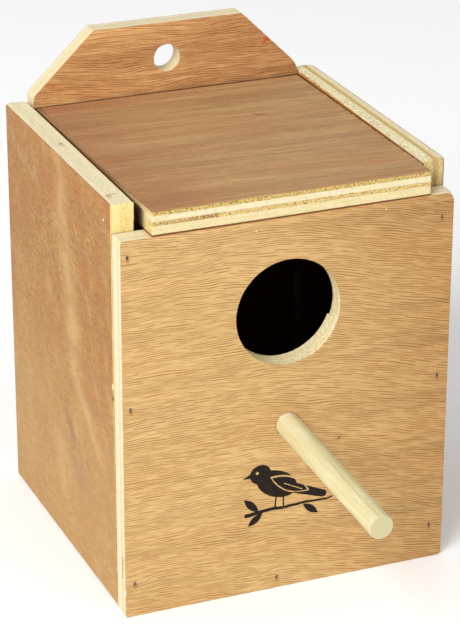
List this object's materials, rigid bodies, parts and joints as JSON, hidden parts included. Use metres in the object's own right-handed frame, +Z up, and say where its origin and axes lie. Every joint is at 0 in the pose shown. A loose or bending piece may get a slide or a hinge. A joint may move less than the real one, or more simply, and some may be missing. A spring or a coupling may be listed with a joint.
{
  "type": "birdhouse",
  "caption": "Plywood nest box for small birds: round entry hole, round perch, lid that lifts on two nails, and a chamfered tab to hang it by.",
  "frame": {"origin": "the middle of the floor's underside, which the box stands on", "axes": "+Z up, -Y out of the front (the entry hole and the perch), +X to the right seen from the front"},
  "size_m": [0.127, 0.2076, 0.1827],
  "materials": {
    "front_plywood": "unfinished golden-tan face veneer with fine reddish grain, pale ply edges",
    "side_plywood": "unfinished reddish-tan face veneer, pale ply edges",
    "lid_plywood": "unfinished brown face veneer with soft streaks, pale ply edges",
    "back_plywood": "unfinished orange-brown face veneer, pale ply edges",
    "floor_plywood": "unfinished face veneer, pale ply edges",
    "dowel_wood": "bare pale hardwood with a fine straight grain",
    "nail_steel": "plain drawn steel wire"
  },
  "bodies": {
    "box": {"front_panel": "front_plywood", "left_side": "side_plywood", "right_side": "side_plywood", "back_panel": "back_plywood", "floor_panel": "floor_plywood", "perch_dowel": "dowel_wood", "front_nail_left_top": "nail_steel", "front_nail_left_middle": "nail_steel", "front_nail_left_bottom": "nail_steel", "front_nail_right_top": "nail_steel", "front_nail_right_middle": "nail_steel", "front_nail_right_bottom": "nail_steel", "front_nail_floor": "nail_steel", "left_back_nail_top": "nail_steel", "left_back_nail_middle": "nail_steel", "left_back_nail_bottom": "nail_steel", "right_back_nail_top": "nail_steel", "right_back_nail_middle": "nail_steel", "right_back_nail_bottom": "nail_steel", "left_floor_nail_front": "nail_steel", "left_floor_nail_rear": "nail_steel", "right_floor_nail_front": "nail_steel", "right_floor_nail_rear": "nail_steel", "back_floor_nail": "nail_steel", "hinge_nail_left": "nail_steel", "hinge_nail_right": "nail_steel"},
    "lid": {"lid": "lid_plywood"}
  },
  "joints": [
    {"name": "lid_hinge", "type": "hinge", "parent": "box", "child": "lid", "pos_m": [0, 0.0438, 0.151], "axis": [-1, 0, 0], "range_deg": [0, 101]}
  ]
}
